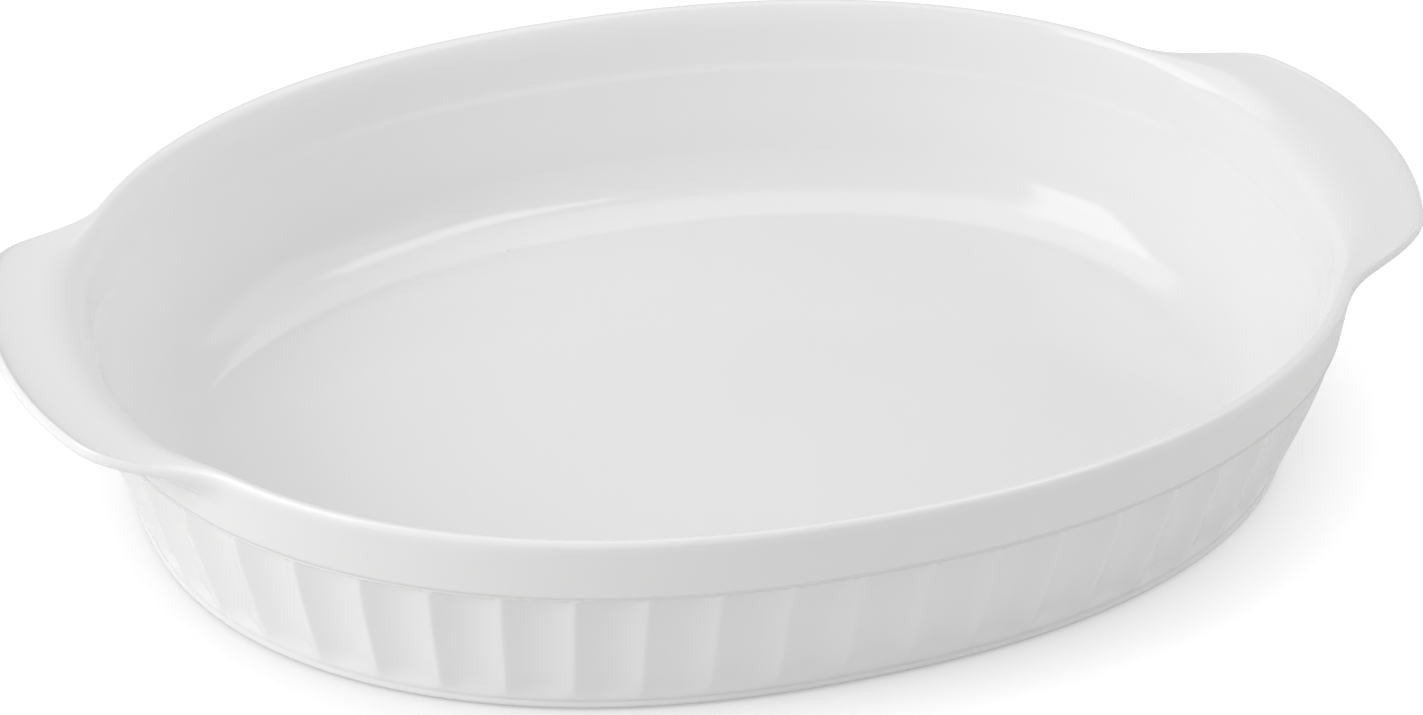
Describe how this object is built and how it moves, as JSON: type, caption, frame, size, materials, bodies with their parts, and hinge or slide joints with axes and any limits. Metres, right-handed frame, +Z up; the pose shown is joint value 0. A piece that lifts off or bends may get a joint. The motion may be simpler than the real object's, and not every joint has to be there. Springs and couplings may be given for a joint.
{
  "type": "oval baking dish",
  "caption": "Oval glazed stoneware baking dish with a fluted outside wall, a plain band under a rounded lip, a lug handle at each end and a flat foot ring.",
  "frame": {"origin": "centre of the foot ring's underside, on the table", "axes": "+X along the long axis through both handles, +Y across the dish, +Z up out of its mouth"},
  "size_m": [0.35, 0.2366, 0.0577],
  "materials": {
    "white_glaze": "glossy white glaze, a little thinner on edges and ridges",
    "bare_clay": "matt unglazed off-white stoneware, wiped clean of glaze"
  },
  "bodies": {
    "root": {"foot_ring": "bare_clay", "floor_slab": "white_glaze", "fluted_wall": "white_glaze", "rim_band": "white_glaze", "left_handle": "white_glaze", "right_handle": "white_glaze"}
  },
  "joints": []
}
